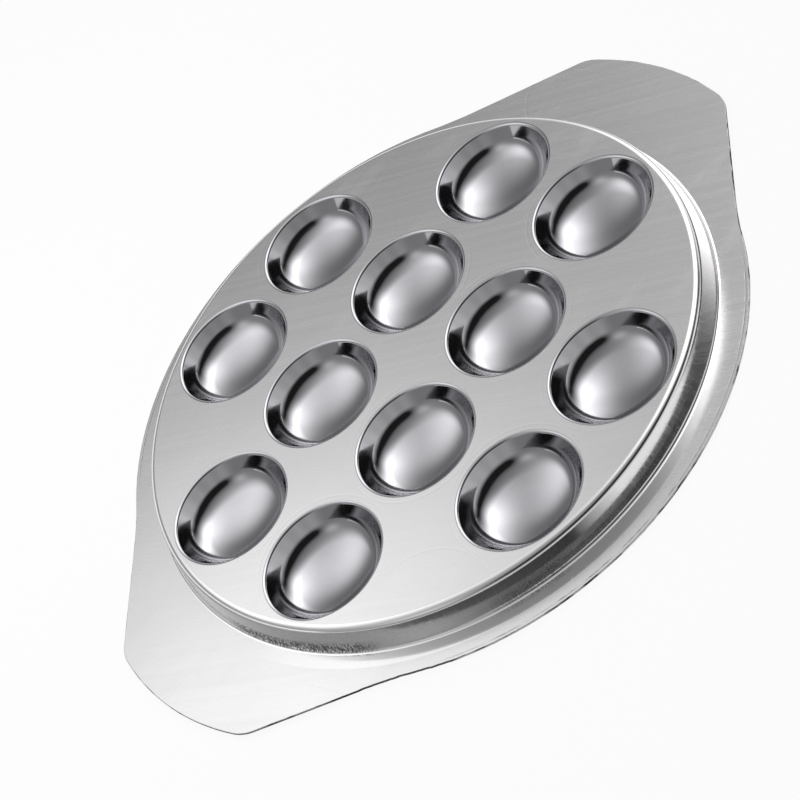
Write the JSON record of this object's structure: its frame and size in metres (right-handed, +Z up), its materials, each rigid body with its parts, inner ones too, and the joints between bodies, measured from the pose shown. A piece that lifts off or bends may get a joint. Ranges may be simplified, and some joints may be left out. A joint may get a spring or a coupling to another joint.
{
  "type": "escargot plate",
  "caption": "Round pressed steel plate with a raised deck of round wells that each hold a snail, and a flat flange drawn out into a handle at either end.",
  "frame": {"origin": "under the plate's centre, on the plane that the undersides of the wells stand on", "axes": "+Z up out of the wells, +Y along the line from handle to handle, +X across the handles"},
  "size_m": [0.2064, 0.2472, 0.0112],
  "materials": {
    "plate_steel": "satin deck and flange, polished wells and wall"
  },
  "bodies": {
    "root": {"plate": "plate_steel"}
  },
  "joints": []
}
